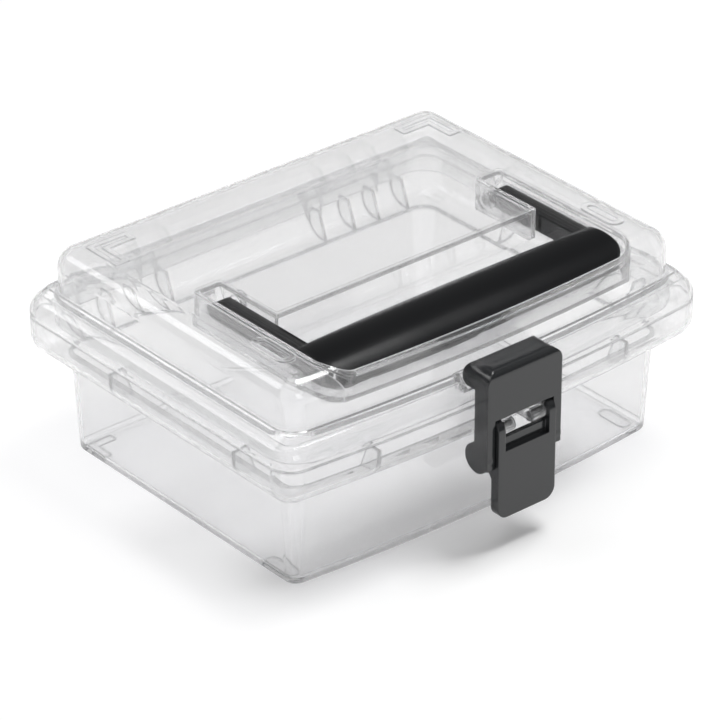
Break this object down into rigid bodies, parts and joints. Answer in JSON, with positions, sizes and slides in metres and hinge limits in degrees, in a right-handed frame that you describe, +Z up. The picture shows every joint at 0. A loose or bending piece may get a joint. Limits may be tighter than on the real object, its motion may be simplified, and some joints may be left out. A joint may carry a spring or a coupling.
{
  "type": "photo keeper case",
  "caption": "Clear hinged storage box with a carry handle that folds flush into its lid and an over-centre draw latch at the front.",
  "frame": {"origin": "middle of the case's length and depth, in the plane that the feet stand on", "axes": "+Z up, -Y towards the latch at the front, X along the front edge"},
  "size_m": [0.2594, 0.2288, 0.1132],
  "materials": {
    "clear_tub": "water-clear moulded plastic",
    "clear_lid": "water-clear moulded plastic",
    "black_handle": "black moulded plastic with a soft sheen",
    "black_latch": "black moulded plastic with a soft sheen"
  },
  "bodies": {
    "tub": {"tub": "clear_tub"},
    "lid": {"lid": "clear_lid"},
    "handle": {"handle": "black_handle"},
    "lever": {"latch_lever": "black_latch"},
    "hook": {"latch_hook": "black_latch"}
  },
  "joints": [
    {"name": "lid_hinge", "type": "hinge", "parent": "tub", "child": "lid", "pos_m": [0, 0.1101, 0.075], "axis": [-1, 0, 0], "range_deg": [0, 110]},
    {"name": "handle_pivot", "type": "hinge", "parent": "lid", "child": "handle", "pos_m": [0, 0.0021, 0.1045], "axis": [-1, 0, 0], "range_deg": [0, 95]},
    {"name": "latch_lever_pivot", "type": "hinge", "parent": "tub", "child": "lever", "pos_m": [0, -0.1086, 0.0625], "axis": [-1, 0, 0], "range_deg": [0, 90]},
    {"name": "latch_hook_pivot", "type": "hinge", "parent": "lever", "child": "hook", "pos_m": [0, -0.1064, 0.0476], "axis": [-1, 0, 0], "range_deg": [-90, 0]}
  ],
  "couplings": [
    {"joint": "latch_hook_pivot", "follows": "latch_lever_pivot", "ratio": -1}
  ]
}
